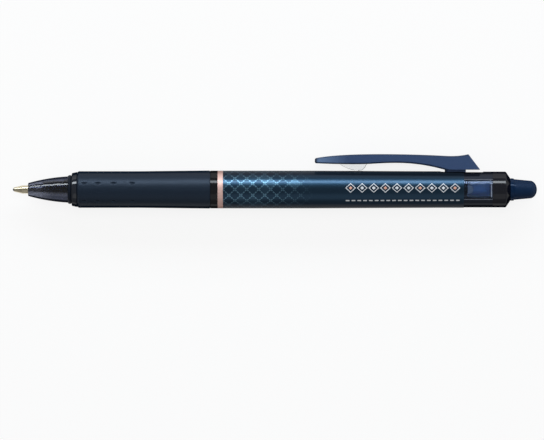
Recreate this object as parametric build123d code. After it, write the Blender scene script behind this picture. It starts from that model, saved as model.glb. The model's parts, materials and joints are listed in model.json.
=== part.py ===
from build123d import *

import os
from math import asin, atan2, cos, degrees, hypot, pi, radians, sin

# Retractable fabric marking pen with a heat-erasable gel refill.
#
# The pen's axis is X: the writing tip points to -X and the eraser to +X. X = 0 is the parting
# plane, where the front section meets the barrel. Pieces are drawn with the clip standing
# towards +Z and are laid down at the end, onto a table that carries the barrel and the clip's
# lower edge. The pen is drawn with its writing tip out. All sizes are in millimetres.

# ---- lengths along the axis, from the nose to the eraser ----
nose_length = 11.0
nose_ring_width = 1.05
shoulder_length = 1.45
grip_length = 36.9
collar_length = 2.0
trim_ring_width = 1.45
window_length = 6.9
skin_setback = 1.0
slider_setback = 0.4
taper_lead = 0.9
cap_skirt = 3.5
cap_chamfer = 1.47
eraser_flange = 1.0
eraser_length = 7.4

# ---- outer radii ----
mouth_radius = 1.80
nose_radius = 3.62
nose_bulge = 0.32
nose_bands = 3
nose_ring_radius = 3.98
nose_ring_bevel = 0.25
shoulder_front_radius = 4.55
shoulder_radius = 4.84
shoulder_edge = 0.3
grip_front_radius = 5.05
grip_radius = 5.26
grip_lip = 0.3
collar_radius = 5.21
barrel_radius = 5.21
barrel_tube_radius = 4.95
skin_thickness = 0.10
cap_rear_radius = 3.12
eraser_flange_radius = 3.08
eraser_root_radius = 2.85
eraser_tip_radius = 2.45
eraser_dome = 1.95
eraser_dome_bands = 3

# ---- fits ----
running_gap = 0.05
sliding_gap = 0.10
loose_gap = 0.25

# ---- click: how far the tip goes in, and past its resting place when the clip is pressed home ----
travel_in = 4.6
travel_over = 1.2

# ---- refill ----
refill_length = 111.0
tip_out = 4.25
tip_radius = 1.15
tip_cone = 2.65
tip_length = 12.0
tip_socket_depth = 1.6
ball_radius = 0.5
ball_proud = 0.32
ball_gap = 0.02
ball_land = 0.1
tip_lip = 0.05
ink_channel_radius = 0.35
holder_stem_radius = 1.72
holder_stem_length = 7.1
holder_radius = 2.70
holder_length = 2.8
holder_plug_length = 3.0
tube_radius = 3.0
tube_wall = 0.65
follower_length = 5.0
air_length = 8.7
tail_flange = 1.0
tail_plug_length = 4.0
vent_radius = 1.25

# ---- return spring ----
spring_wire = 0.36
spring_radius = 2.06
spring_turns = 12
spring_corners = 9
spring_wire_sides = 5

# ---- bores of the front section ----
guide_length = 1.9
guide_relief_length = 2.3
guide_relief_radius = 1.62
spring_chamber_gap = 0.13
nose_spigot_radius = 3.45
nose_spigot_length = 2.5
nose_rear_bore = 2.95
nose_rear_bore_length = 4.5
core_radius = 4.15
core_bore = 3.25

# ---- screw joint between the front section and the barrel ----
spigot_length = 7.0

# ---- barrel and its slot ----
barrel_bore = 3.95
barrel_spigot_radius = 4.40
barrel_spigot_length = 2.0
slot_width = 2.5

# ---- ratchet ----
teeth = 8
tooth_depth = 0.8
cam_length = 9.75
cam_bore = 2.85
groove_radius = 3.50
groove_width = 24.0
rotor_flange = 1.0
rotor_bore = 1.9
rotor_rib_width = 20.0
pilot_length = 1.5

# ---- slider, which the clip pushes ----
slider_bore = 1.9
slider_rib_length = 2.4
socket_length = 8.4
socket_depth = 1.4
socket_wall = 1.0

# ---- tail cap and eraser root ----
cap_bore = 3.05
cap_wall = 0.66
eraser_stem_radius = 1.30
eraser_barb_radius = 1.65
eraser_barb_length = 0.9

# ---- clip ----
clip_length = 45.55
clip_setback = 3.45
clip_rear_width = 6.4
clip_front_width = 4.4
clip_nose_underside = 7.28
clip_nose_height = 8.62
clip_brow_setback = 5.6
clip_crown_setback = 18.0
clip_crown_height = 9.75
clip_saddle_setback = 9.05
clip_saddle_height = 9.24
clip_crest_height = 9.72
clip_crest_setback = 3.2
clip_arch_setback = 13.3
clip_arch_height = 7.38
clip_belly_setback = 11.1
clip_belly_height = 7.00
clip_heel_height = 5.49
clip_bevel = 0.35
clip_nose_round = 0.45
foot_setback = 3.85
foot_length = 5.8
foot_width = 2.3
foot_sink = 0.5
snap_radius = 1.10
snap_span = 4.9
snap_setback = 0.6
pad_setback = 6.9
pad_length = 7.5
pad_bend = 4.9
pad_width = 2.8
pad_rear_lip = 0.2
pad_root = 1.0
pad_gap = 0.08
peg_setback = 4.5
peg_length = 2.6
peg_width = 1.2
peg_height = 1.0
peg_root = 0.2

# ---- drawing ----
cutter_overrun = 1.0

# ---- grip dimples ----
dimple_zone = 17.5
dimple_rows = 6
dimple_turn = 10.5
dimple_count = 4
dimple_first = 2.1
dimple_pitch = 3.75
dimple_growth = 1.17
dimple_width = 0.7
dimple_depth = 0.2
dimple_round = 1.7

# ---- stations that follow from the lengths ----
trim_front = -trim_ring_width
collar_front = trim_front - collar_length
grip_front = collar_front - grip_length
shoulder_front = grip_front - shoulder_length
nose_rear = shoulder_front - nose_ring_width
mouth = nose_rear - nose_length

ball_end = mouth - tip_out
tip_rear = ball_end + tip_length
stem_front = tip_rear - tip_socket_depth
spring_rear = stem_front + holder_stem_length
spring_front = mouth + guide_length + guide_relief_length
tube_front = spring_rear + holder_length
ink_front = tube_front + holder_plug_length
refill_rear = ball_end + refill_length
follower_rear = refill_rear - tail_plug_length - air_length
ink_rear = follower_rear - follower_length

# The refill, drawn in, stops just short of the fixed teeth, so its length places the ratchet,
# and the barrel's rear end, the clip and the cap are set back from there.
cam_front = refill_rear + travel_in + loose_gap
cam_rear = cam_front + cam_length
rotor_rear = cam_front - sliding_gap
skin_rear = cam_rear - skin_setback
barrel_rear = cam_rear + window_length
slider_front = cam_front
slider_rear = barrel_rear - slider_setback
body_radius = cam_bore - sliding_gap
rib_radius = groove_radius - sliding_gap

clip_back = barrel_rear - clip_setback
clip_front = clip_back - clip_length
foot_rear = clip_back - foot_setback
foot_front = foot_rear - foot_length
slot_front = foot_front - travel_over - loose_gap
slot_rear = foot_rear + travel_in + loose_gap
taper_front = clip_front - taper_lead
taper_rear = slot_front - taper_lead
cap_rear = barrel_rear + cap_skirt + cap_chamfer
cap_end_wall = cap_rear - cap_wall
eraser_end = cap_rear + eraser_length

tooth_pitch = 360 / teeth
groove_middle = 45.0
first_tooth = groove_middle + groove_width / 2 - 2 * tooth_pitch
tube_bore = tube_radius - tube_wall


# ---- drawing helpers ----
def turned(*corners):
    """A solid turned about the axis from corners given as (station, radius)."""
    return revolve(make_face(Polyline(*corners, close=True)), Axis.X)


def turned_taper(corners, narrow, wide):
    """A solid turned about the axis whose outline has one slender taper, between two of its
    corners. The taper is drawn as a curve with two poles, which takes few facets."""
    edges = []
    for start, end in zip(corners, corners[1:] + corners[:1]):
        if {start, end} == {narrow, wide}:
            edges.append(Bezier(start, end))
        else:
            edges.append(Line(start, end))
    return revolve(make_face(edges), Axis.X)


def tube(front, rear, outer, inner):
    """A plain tube between two stations."""
    return turned((front, inner), (front, outer), (rear, outer), (rear, inner))


def bevelled_ring(front, rear, outer, inner, bevel):
    """A tube whose two outer rims are bevelled."""
    return turned(
        (front, inner),
        (front, outer - bevel),
        (front + bevel, outer),
        (rear - bevel, outer),
        (rear, outer - bevel),
        (rear, inner),
    )


def rod(front, rear, radius):
    """A plain round bar between two stations."""
    return turned((front, 0), (front, radius), (rear, radius), (rear, 0))


def block(front, rear, low, high, width):
    """A box centred on the clip's plane, between two stations and two heights."""
    middle = ((front + rear) / 2, 0, (low + high) / 2)
    return Pos(*middle) * Box(rear - front, width, high - low)


def sector(front, rear, inner, outer, start, width):
    """Part of a tube that spans `width` degrees from `start`, counted from +Z towards -Y."""
    outline = Polyline((front, inner), (front, outer), (rear, outer), (rear, inner), close=True)
    return Rot(X=90 + start) * revolve(make_face(outline), Axis.X, revolution_arc=width)


def ramp_plane(station, start, mean_radius):
    """The plane of one saw tooth: it holds the radial line at `start` and climbs by the tooth's
    depth over one pitch at the mean radius."""
    angle = radians(90 + start)
    slope = tooth_depth / (mean_radius * sin(radians(tooth_pitch)))
    tangent = Vector(0, -sin(angle), cos(angle))
    radial = Vector(0, cos(angle), sin(angle))
    return Plane(origin=(station, 0, 0), x_dir=radial, z_dir=Vector(1, 0, 0) - slope * tangent)


# ---- front section ----
def make_nose_cone():
    """Clear nose: a bulged cone with a stepped bore that guides the tip and seats the spring."""
    spigot_rear = shoulder_front + nose_spigot_length
    ogive = SagittaArc((mouth, mouth_radius), (nose_rear, nose_radius), nose_bulge)
    bands = [ogive @ (band / nose_bands) for band in range(nose_bands + 1)]
    outside = turned(
        (mouth, 0),
        *bands,
        (nose_rear, nose_spigot_radius),
        (spigot_rear, nose_spigot_radius),
        (spigot_rear, 0),
    )
    chamber = spring_radius + spring_wire / 2 + spring_chamber_gap
    relief_front = mouth + guide_length
    flare = spigot_rear - nose_rear_bore_length
    bore = turned(
        (mouth, 0),
        (mouth, tip_radius + sliding_gap),
        (relief_front, tip_radius + sliding_gap),
        (relief_front, guide_relief_radius),
        (spring_front, guide_relief_radius),
        (spring_front, chamber),
        (flare, chamber),
        (flare, nose_rear_bore),
        (spigot_rear, nose_rear_bore),
        (spigot_rear, 0),
    )
    return outside - bore


def make_nose_ring():
    """Black ring nipped between the nose cone and the shoulder."""
    return bevelled_ring(nose_rear, shoulder_front, nose_ring_radius, nose_spigot_radius, nose_ring_bevel)


def make_grip_core():
    """Clear inner tube of the front section, with the shoulder in front and the threaded
    spigot behind."""
    outside = turned(
        (shoulder_front, 0),
        (shoulder_front, shoulder_front_radius - shoulder_edge),
        (shoulder_front + shoulder_edge, shoulder_front_radius),
        (grip_front, shoulder_radius),
        (grip_front, core_radius),
        (trim_front, core_radius),
        (trim_front, barrel_bore - running_gap),
        (spigot_length, barrel_bore - running_gap),
        (spigot_length, 0),
    )
    bore = rod(shoulder_front, spigot_length, core_bore)
    counterbore = rod(shoulder_front, shoulder_front + nose_spigot_length, nose_spigot_radius)
    return outside - bore - counterbore


def dimple(station, angle):
    """Cutter for one dimple: a short cross roller sunk into the grip's surface."""
    roller = Rot(X=90) * Cylinder(dimple_round, dimple_width)
    return Rot(X=angle) * Pos(station, 0, grip_front_radius + dimple_round - dimple_depth) * roller


def make_grip_sleeve():
    """Rubber sleeve: parallel where its rows of dimples are, then a little wider towards the
    barrel."""
    narrow = (grip_front + dimple_zone, grip_front_radius)
    wide = (collar_front, grip_radius)
    corners = [
        (grip_front, core_radius),
        (grip_front, grip_front_radius - grip_lip),
        (grip_front + grip_lip, grip_front_radius),
        narrow,
        wide,
        (collar_front, core_radius),
    ]
    sleeve = turned_taper(corners, narrow, wide)
    for row in range(dimple_rows):
        station = grip_front + dimple_first
        for count in range(dimple_count):
            sleeve -= dimple(station, dimple_turn + row * 360 / dimple_rows)
            station += dimple_pitch * dimple_growth**count
    return sleeve


def make_grip_collar():
    """Glossy black collar that closes the grip's rear end."""
    return tube(collar_front, trim_front, collar_radius, core_radius)


def make_trim_ring():
    """Rose-gold metal ring at the parting plane."""
    return tube(trim_front, 0, barrel_radius, barrel_bore)


# ---- barrel ----
def slot_cutter(rear):
    """Cutter for the slot that the clip's foot runs in, with a round front end."""
    half = slot_width / 2
    run = block(slot_front + half, rear, 0, 2 * barrel_radius, slot_width)
    return run + Pos(slot_front + half, 0, barrel_radius) * Cylinder(half, 2 * barrel_radius)


def make_barrel_tube():
    """Clear barrel with the clip's slot and a stepped rear end for the tail cap."""
    end = barrel_rear + barrel_spigot_length
    outside = rod(0, barrel_rear, barrel_tube_radius) + rod(barrel_rear, end, barrel_spigot_radius)
    return outside - rod(0, end, barrel_bore) - slot_cutter(slot_rear)


def make_barrel_skin():
    """Printed metallic sleeve round the barrel: parallel in front, tapered under the clip until
    it is as thin as a film, and cut out round the slot."""
    wide = (taper_front, barrel_radius)
    narrow = (taper_rear, barrel_tube_radius + skin_thickness)
    corners = [
        (0, barrel_tube_radius),
        (0, barrel_radius),
        wide,
        narrow,
        (skin_rear, barrel_tube_radius + skin_thickness),
        (skin_rear, barrel_tube_radius),
    ]
    return turned_taper(corners, narrow, wide) - slot_cutter(skin_rear)


def make_cam_sleeve():
    """Fixed ratchet sleeve: eight saw teeth at the front, and a groove behind every second one."""
    teeth_rear = cam_front + 2 * tooth_depth
    sleeve = tube(teeth_rear, cam_rear, barrel_bore, cam_bore)
    mean = (cam_bore + barrel_bore) / 2
    for tooth in range(teeth):
        start = first_tooth + tooth * tooth_pitch
        crest = sector(cam_front, teeth_rear, cam_bore, barrel_bore, start, tooth_pitch)
        sleeve += split(crest, bisect_by=ramp_plane(cam_front, start, mean), keep=Keep.TOP)
    for quarter in range(teeth // 2):
        start = groove_middle - groove_width / 2 + quarter * 2 * tooth_pitch
        sleeve -= sector(cam_front, cam_rear, cam_bore - cutter_overrun, groove_radius, start, groove_width)
    return sleeve - slot_cutter(cam_rear)


def make_rotor():
    """Turning ratchet piece: saw teeth behind, four ribs for the grooves, a pilot in front."""
    ribs_front = refill_rear + rotor_flange
    teeth_front = rotor_rear - 2 * tooth_depth
    rotor = rod(refill_rear, teeth_front, body_radius)
    rotor += rod(refill_rear - pilot_length, refill_rear, vent_radius - running_gap)
    rotor -= rod(ribs_front, teeth_front, rotor_bore)
    mean = (cam_bore + barrel_bore) / 2
    for tooth in range(teeth):
        start = first_tooth + tooth * tooth_pitch
        plane = ramp_plane(rotor_rear - tooth_depth, start, mean)
        crest = sector(teeth_front, rotor_rear + cutter_overrun, rotor_bore, body_radius, start, tooth_pitch)
        rotor += split(crest, bisect_by=plane, keep=Keep.BOTTOM)
    for quarter in range(teeth // 2):
        start = groove_middle - rotor_rib_width / 2 + quarter * 2 * tooth_pitch
        tooth_start = groove_middle + groove_width / 2 - tooth_pitch + quarter * 2 * tooth_pitch
        rib = sector(ribs_front, rotor_rear + cutter_overrun, rotor_bore, rib_radius, start, rotor_rib_width)
        plane = ramp_plane(rotor_rear - tooth_depth, tooth_start, mean)
        rotor += split(rib, bisect_by=plane, keep=Keep.BOTTOM)
    return rotor


def make_slider():
    """Blue slider: a crown of teeth that drives the rotor, four guide ribs, and the socket that
    the clip's foot snaps into."""
    teeth_rear = slider_front + 2 * tooth_depth
    slider = tube(teeth_rear, slider_rear, body_radius, slider_bore)
    mean = (slider_bore + body_radius) / 2
    for tooth in range(teeth):
        start = first_tooth + (tooth + 0.5) * tooth_pitch
        crest = sector(slider_front, teeth_rear, slider_bore, body_radius, start, tooth_pitch)
        slider += split(crest, bisect_by=ramp_plane(slider_front, start, mean), keep=Keep.TOP)
    rib_rear = teeth_rear + slider_rib_length
    for quarter in range(teeth // 2):
        start = groove_middle - rotor_rib_width / 2 + quarter * 2 * tooth_pitch
        slider += sector(teeth_rear, rib_rear, slider_bore, rib_radius, start, rotor_rib_width)
    socket_rear = foot_front + socket_length
    slider += rod(foot_front - socket_wall, socket_rear + socket_wall, body_radius)
    socket = block(foot_front, socket_rear, -socket_depth, rib_radius, foot_width)
    snap = Pos(snap_station(), 0, 0) * Rot(X=90) * Cylinder(snap_radius, 2 * body_radius)
    return slider - socket - snap


def make_tail_cap():
    """Smoke-clear tail cap that snaps over the barrel's rear end and carries the eraser."""
    skirt_rear = barrel_rear + cap_skirt
    outside = turned(
        (barrel_rear, 0),
        (barrel_rear, barrel_tube_radius),
        (skirt_rear, barrel_tube_radius),
        (cap_rear, cap_rear_radius),
        (cap_rear, 0),
    )
    spigot_rear = barrel_rear + barrel_spigot_length
    socket = rod(barrel_rear, spigot_rear, barrel_spigot_radius)
    bore = rod(spigot_rear, cap_end_wall, cap_bore)
    return outside - socket - bore - rod(cap_end_wall, cap_rear, eraser_stem_radius)


def make_eraser():
    """Rubber friction eraser: a tapered stud with a round end, a flange and a barbed root."""
    root = cap_rear + eraser_flange
    barb_front = cap_end_wall - eraser_barb_length
    dome_round = (eraser_dome**2 + eraser_tip_radius**2) / (2 * eraser_dome)
    spread = asin(eraser_tip_radius / dome_round)
    dome = []
    for band in range(eraser_dome_bands + 1):
        angle = spread * (1 - band / eraser_dome_bands)
        dome.append((eraser_end - dome_round * (1 - cos(angle)), dome_round * sin(angle)))
    return turned(
        (barb_front, 0),
        (barb_front, eraser_stem_radius),
        (cap_end_wall, eraser_barb_radius),
        (cap_end_wall, eraser_stem_radius),
        (cap_rear, eraser_stem_radius),
        (cap_rear, eraser_flange_radius),
        (root, eraser_flange_radius),
        (root, eraser_root_radius),
        *dome,
    )


# ---- clip ----
def side(station, height):
    """A point in the clip's plane."""
    return (station, 0, height)


def make_clip_blade():
    """The clip's blade: a crowned back, an underside with a belly over the pad and an arch
    behind it, and a raked heel."""
    nose_top = side(clip_front, clip_nose_height)
    nose_low = side(clip_front, clip_nose_underside)
    crown = side(clip_front + clip_crown_setback, clip_crown_height)
    saddle = side(clip_back - clip_saddle_setback, clip_saddle_height)
    crest = side(clip_back - clip_crest_setback, clip_crest_height)
    heel = side(clip_back, clip_heel_height)
    throat = side(foot_front, clip_heel_height)
    arch = side(foot_front - clip_arch_setback, clip_arch_height)
    belly = side(clip_front + clip_belly_setback, clip_belly_height)
    middle = side((belly[0] + arch[0]) / 2, (belly[2] + arch[2]) / 2)
    brow = Bezier(crown, side(clip_front + clip_brow_setback, clip_crown_height), nose_top)
    spine = TangentArc(crown, saddle, tangent=(1, 0, 0))
    tail = TangentArc(saddle, crest, tangent=spine % 1)
    hollow = TangentArc(arch, throat, tangent=(1, 0, 0))
    rise = TangentArc(arch, middle, tangent=(-1, 0, 0))
    sag = TangentArc(belly, middle, tangent=(1, 0, 0))
    chin = TangentArc(belly, nose_low, tangent=(-1, 0, 0))
    heel_run = Polyline(crest, heel, throat)
    nose = Line(nose_low, nose_top)
    underside = [hollow, rise, sag, chin]
    profile = make_face([brow, spine, tail, *heel_run.edges(), *underside, nose])
    half_rear = clip_rear_width / 2
    half_front = clip_front_width / 2
    profile = fillet(profile.vertices().group_by(Axis.X)[0], clip_nose_round)
    plan = Polyline(
        (clip_front, -half_front),
        (clip_front, half_front),
        (clip_back, half_rear),
        (clip_back, -half_rear),
        close=True,
    )
    wall = Pos(0, -half_rear, 0) * extrude(profile, 2 * half_rear, dir=(0, 1, 0))
    blade = wall & extrude(make_face(plan), 2 * clip_crest_height)
    high = blade.edges().filter_by(lambda edge: edge.center().Z > clip_nose_height)
    return chamfer(high.filter_by(lambda edge: abs(edge.center().Y) > clip_bevel), clip_bevel)


def snap_station():
    """Station of the cross boss that holds the clip's foot in the slider."""
    return foot_front + socket_length - snap_radius - snap_setback


def make_clip_foot():
    """The clip's foot: a round-fronted neck through the slot, and a root plate with a snap boss
    each side."""
    plate_rear = foot_front + socket_length
    half = foot_width / 2
    low = body_radius - foot_sink
    high = clip_heel_height + clip_bevel
    neck = block(foot_front + half, foot_rear, low, high, foot_width)
    neck += Pos(foot_front + half, 0, (low + high) / 2) * Cylinder(half, high - low)
    plate = block(foot_front, plate_rear, -socket_depth, body_radius, foot_width)
    plate &= rod(foot_front, plate_rear, body_radius)
    boss = Pos(snap_station(), 0, 0) * Rot(X=90) * Cylinder(snap_radius, snap_span)
    return neck + plate + boss


def make_pad_peg():
    """The peg that holds the pad in the blade's underside."""
    front = clip_front + pad_setback + peg_setback - peg_length / 2
    low = clip_belly_height - peg_root
    return block(front, front + peg_length, low, clip_belly_height + peg_height, peg_width)


def make_pad_bump():
    """The pad's belly under the blade, drawn up into the blade: it slopes down to a low point
    just clear of the barrel and rises steeply behind."""
    front = clip_front + pad_setback
    rear = front + pad_length
    top = clip_belly_height + pad_root
    front_lip = side(front, clip_belly_height)
    low_point = side(front + pad_bend, barrel_radius + pad_gap)
    rear_lip = side(rear, clip_belly_height + pad_rear_lip)
    belly = Spline(front_lip, low_point, rear_lip, tangents=((1, 0, -1), (0.2, 0, 1)))
    roof = Polyline(rear_lip, side(rear, top), side(front, top), front_lip)
    return extrude(make_face([belly, *roof.edges()]), pad_width / 2, dir=(0, 1, 0), both=True)


# ---- refill ----
def make_tip_body():
    """Metal writing tip: a cone spun down round the ball, on a drawn tube with the ink channel."""
    lip = ball_end + ball_proud
    cone_rear = ball_end + tip_cone
    rear = ball_end + tip_length
    seat = ball_radius + ball_gap
    seat_front = ball_end + ball_radius + ball_land
    return turned(
        (lip, seat),
        (lip, seat + tip_lip),
        (cone_rear, tip_radius),
        (rear, tip_radius),
        (rear, ink_channel_radius),
        (seat_front + seat, ink_channel_radius),
        (seat_front, seat),
    )


def make_writing_ball():
    """The hard ball that rolls in the tip, drawn with its poles on the pen's axis."""
    return Pos(ball_end + ball_radius, 0, 0) * Rot(Y=90) * Sphere(ball_radius)


def make_tip_holder():
    """Plastic holder between the tip and the tube; its flange is the spring's rear seat."""
    holder = turned(
        (stem_front, 0),
        (stem_front, holder_stem_radius),
        (spring_rear, holder_stem_radius),
        (spring_rear, holder_radius),
        (tube_front, holder_radius),
        (tube_front, tube_bore),
        (ink_front, tube_bore),
        (ink_front, 0),
    )
    return holder - rod(stem_front, tip_rear, tip_radius) - rod(tip_rear, ink_front, ink_channel_radius)


def make_refill_tube():
    """The ink tube."""
    return tube(tube_front, refill_rear - tail_flange, tube_radius, tube_bore)


def make_ink():
    """The column of gel ink."""
    return rod(ink_front, ink_rear, tube_bore)


def make_ink_follower():
    """The grease plug that follows the ink down the tube."""
    return rod(ink_rear, follower_rear, tube_bore)


def make_tail_plug():
    """Vented plug in the tube's rear end, which the rotor's pilot turns in."""
    flange = tube(refill_rear - tail_flange, refill_rear, tube_radius, vent_radius)
    return flange + tube(refill_rear - tail_plug_length, refill_rear - tail_flange, tube_bore, vent_radius)


def make_return_spring():
    """Compression spring between the step in the nose cone and the refill's flange."""
    start = spring_front + spring_wire / 2
    height = spring_rear - spring_front - spring_wire
    corners = spring_turns * spring_corners
    points = []
    for corner in range(corners + 1):
        station = start + height * corner / corners
        turn = 2 * pi * corner / spring_corners
        points.append((station, spring_radius * cos(turn), spring_radius * sin(turn)))
    path = Polyline(*points)
    wire = Plane(origin=path @ 0, z_dir=path % 0) * RegularPolygon(spring_wire / 2, spring_wire_sides)
    return sweep(wire, path, transition=Transition.RIGHT)


def table_roll():
    """Turn about the axis that lays the pen down, so that its grip and the lower edge of the
    clip's side, under the bevel at the crest, both touch the table."""
    height = clip_crest_height - clip_bevel
    half = clip_rear_width / 2
    dip = degrees(asin(grip_radius / hypot(height, half)) - atan2(half, height))
    return -90 - dip


clip_blade = make_clip_blade()
pad_bump = make_pad_bump()
pad_peg = make_pad_peg()

assembly = {
    "nose_cone": make_nose_cone(),
    "nose_ring": make_nose_ring(),
    "grip_core": make_grip_core(),
    "grip_sleeve": make_grip_sleeve(),
    "grip_collar": make_grip_collar(),
    "return_spring": make_return_spring(),
    "trim_ring": make_trim_ring(),
    "barrel_tube": make_barrel_tube(),
    "barrel_skin": make_barrel_skin(),
    "cam_sleeve": make_cam_sleeve(),
    "tail_cap": make_tail_cap(),
    "eraser": make_eraser(),
    "clip": clip_blade + make_clip_foot() - pad_peg,
    "clip_pad": pad_bump - clip_blade + pad_peg,
    "slider": make_slider(),
    "rotor": make_rotor(),
    "tip_body": make_tip_body(),
    "writing_ball": make_writing_ball(),
    "tip_holder": make_tip_holder(),
    "refill_tube": make_refill_tube(),
    "ink": make_ink(),
    "ink_follower": make_ink_follower(),
    "tail_plug": make_tail_plug(),
}

os.makedirs("parts", exist_ok=True)
laid_down = Rot(X=table_roll())
for node, solid in assembly.items():
    export_step(laid_down * solid, f"parts/{node}.step")
    print(node, round(solid.volume, 2), "mm3")
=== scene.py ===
# %% [markdown]
# # A retractable fabric marking pen, laid on a white table
#
# The pen's rigid pieces come from a CAD model as a fixed frame: every piece is already where it
# belongs, in metres, with the pen's axis along X, its writing tip towards -X and its eraser towards
# +X. This lesson dresses that frame. Pieces whose CAD shape is right keep it and get a material
# with real detail. Pieces that need finer curves, such as the spring and the clear nose, are worked
# out again as smooth surfaces with numpy and stand in for the CAD piece.

# %% Load the frame
import json
from math import atan2, cos, degrees, pi, radians, sin

import bpy
import numpy as np
from mathutils import Matrix, Vector


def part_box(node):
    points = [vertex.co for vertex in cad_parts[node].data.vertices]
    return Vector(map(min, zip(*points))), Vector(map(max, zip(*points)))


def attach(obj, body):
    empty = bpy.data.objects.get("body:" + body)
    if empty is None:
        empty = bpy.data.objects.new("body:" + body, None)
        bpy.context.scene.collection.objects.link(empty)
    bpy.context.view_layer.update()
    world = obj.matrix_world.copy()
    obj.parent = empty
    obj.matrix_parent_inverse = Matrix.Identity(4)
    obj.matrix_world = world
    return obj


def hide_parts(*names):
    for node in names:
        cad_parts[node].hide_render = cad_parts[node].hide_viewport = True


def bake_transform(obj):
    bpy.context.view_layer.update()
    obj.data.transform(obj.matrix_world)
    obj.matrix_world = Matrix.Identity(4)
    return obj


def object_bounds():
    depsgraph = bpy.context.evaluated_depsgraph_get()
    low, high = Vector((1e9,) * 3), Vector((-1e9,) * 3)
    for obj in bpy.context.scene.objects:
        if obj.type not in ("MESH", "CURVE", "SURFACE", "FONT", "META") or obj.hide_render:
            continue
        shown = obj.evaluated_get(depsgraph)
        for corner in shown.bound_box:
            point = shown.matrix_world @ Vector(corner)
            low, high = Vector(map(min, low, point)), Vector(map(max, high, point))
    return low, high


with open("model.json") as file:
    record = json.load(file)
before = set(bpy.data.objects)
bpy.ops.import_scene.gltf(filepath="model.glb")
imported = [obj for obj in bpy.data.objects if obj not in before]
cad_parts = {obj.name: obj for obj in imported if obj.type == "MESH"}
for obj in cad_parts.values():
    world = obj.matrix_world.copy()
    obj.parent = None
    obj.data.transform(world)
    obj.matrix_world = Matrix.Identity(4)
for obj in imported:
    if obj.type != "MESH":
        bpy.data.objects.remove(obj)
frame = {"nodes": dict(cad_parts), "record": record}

MM = 0.001
cad_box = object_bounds()
print("CAD box in mm:", [[round(v / MM, 2) for v in corner] for corner in cad_box])

# %% [markdown]
# ## Where things are
#
# Stations along the pen are read from the CAD pieces' own boxes, in millimetres, so nothing is
# fitted by eye. The pen lies with its clip a little below the horizontal. The record gives the
# clip's direction, and from it come the two directions across the pen that the rest of the lesson
# uses: `clip_way` points from the axis to the clip, and `face_way` points out of the side that
# faces the camera.

# %% Stations and directions
mounts = {mount["name"]: mount for mount in frame["record"]["mounts"]}
clip_way = np.array(mounts["clip_gap"]["axis"])
clip_way /= np.linalg.norm(clip_way)
along = np.array([1.0, 0.0, 0.0])
face_way = np.cross(along, clip_way)
clip_dip = atan2(-clip_way[2], clip_way[1])
floor_height = cad_box[0].z


def front(node):
    """Station in mm of a CAD piece's front end, towards the writing tip."""
    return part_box(node)[0].x / MM


def rear(node):
    """Station in mm of a CAD piece's rear end, towards the eraser."""
    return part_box(node)[1].x / MM


print("the clip dips", round(degrees(clip_dip), 2), "degrees below the horizontal")
print("the pen runs from", round(front("tip_body"), 2), "to", round(rear("eraser"), 2), "mm")

# %% [markdown]
# ## Camera
#
# The pen is seen square on, from the side that shows the clip's profile, with a long lens from far
# away, so that its outline has almost no perspective. An orthographic camera has none at all, which
# looks drawn rather than seen. The view is 150.4 mm wide at the pen, and its centre is 13.55 mm
# behind the ring and 8.43 mm off the axis, away from the clip.

# %% Camera
view_width, camera_distance = 150.4 * MM, 1.5
behind_ring, off_axis = 13.55 * MM, 8.43 * MM
aim = behind_ring * along - off_axis * clip_way
camera_data = bpy.data.cameras.new("long_lens")
camera_data.sensor_width = 36
camera_data.lens = camera_data.sensor_width * camera_distance / view_width
camera_data.clip_end = 20
camera = bpy.data.objects.new("camera", camera_data)
turn = Matrix((along, clip_way, face_way)).transposed().to_4x4()
camera.matrix_world = Matrix.Translation(Vector(aim + camera_distance * face_way)) @ turn
bpy.context.scene.collection.objects.link(camera)
bpy.context.scene.camera = camera
bpy.context.scene.view_settings.view_transform = "Standard"
print("lens", round(camera_data.lens, 1), "mm")

# %% [markdown]
# ## Colours and nodes
#
# A colour is written as it looks on a screen, in hex, and one function turns it to the linear light
# that the renderer works in. One small function adds a node to a material, with its settings and
# its inputs. An input may be a value, a hex colour, another node's output, or a node, whose first
# working output is taken. Inputs go by name or by number. Math takes its values at 0 and 1. Map
# Range takes a value at 0, the range it comes from at 1 and 2, and the range it goes to at 3 and 4.
# A Mix of colours takes the share at 0 and the two colours at 6 and 7.

# %% Colour and node helpers
def linear(hex_colour):
    """Screen colour to linear light: each channel is undone from the sRGB curve."""
    channels = np.array([int(hex_colour[i : i + 2], 16) for i in (1, 3, 5)]) / 255
    light = np.where(channels <= 0.04045, channels / 12.92, ((channels + 0.055) / 1.055) ** 2.4)
    return (*light.tolist(), 1.0)


def feed(node, inputs):
    """Sets or links a node's inputs, which are given by name or number."""
    for name, value in inputs.items():
        if isinstance(value, str):
            value = linear(value)
        if isinstance(value, bpy.types.Node):
            value = next(output for output in value.outputs if output.enabled)
        if isinstance(value, bpy.types.NodeSocket):
            node.id_data.links.new(value, node.inputs[name])
        else:
            node.inputs[name].default_value = value


def add(material, kind, inputs=None, **settings):
    """Adds one node of a kind, with its settings and its inputs."""
    node = material.node_tree.nodes.new("ShaderNode" + kind)
    for name, value in settings.items():
        setattr(node, name, value)
    feed(node, inputs or {})
    return node


print("white is", linear("#ffffff")[:3], "and a middle grey is", round(linear("#808080")[0], 3))

# %% [markdown]
# ## A finish and what wears it
#
# A finish is one material around one Principled shader, which covers plastic, rubber, lacquer and
# metal. Values that are the same all over go on the shader's own sockets. The lesson then feeds the
# sockets that change over the surface, and dresses the pieces in the result.

# %% Finish helpers
def finish_of(name, **inputs):
    """A new material with one Principled shader. Keys are socket names with _ for a space."""
    material = bpy.data.materials.new(name)
    material.use_nodes = True
    material.node_tree.nodes.clear()
    sockets = {key.replace("_", " "): value for key, value in inputs.items()}
    shader = add(material, "BsdfPrincipled", sockets)
    add(material, "OutputMaterial", {"Surface": shader})
    return material, shader


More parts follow.
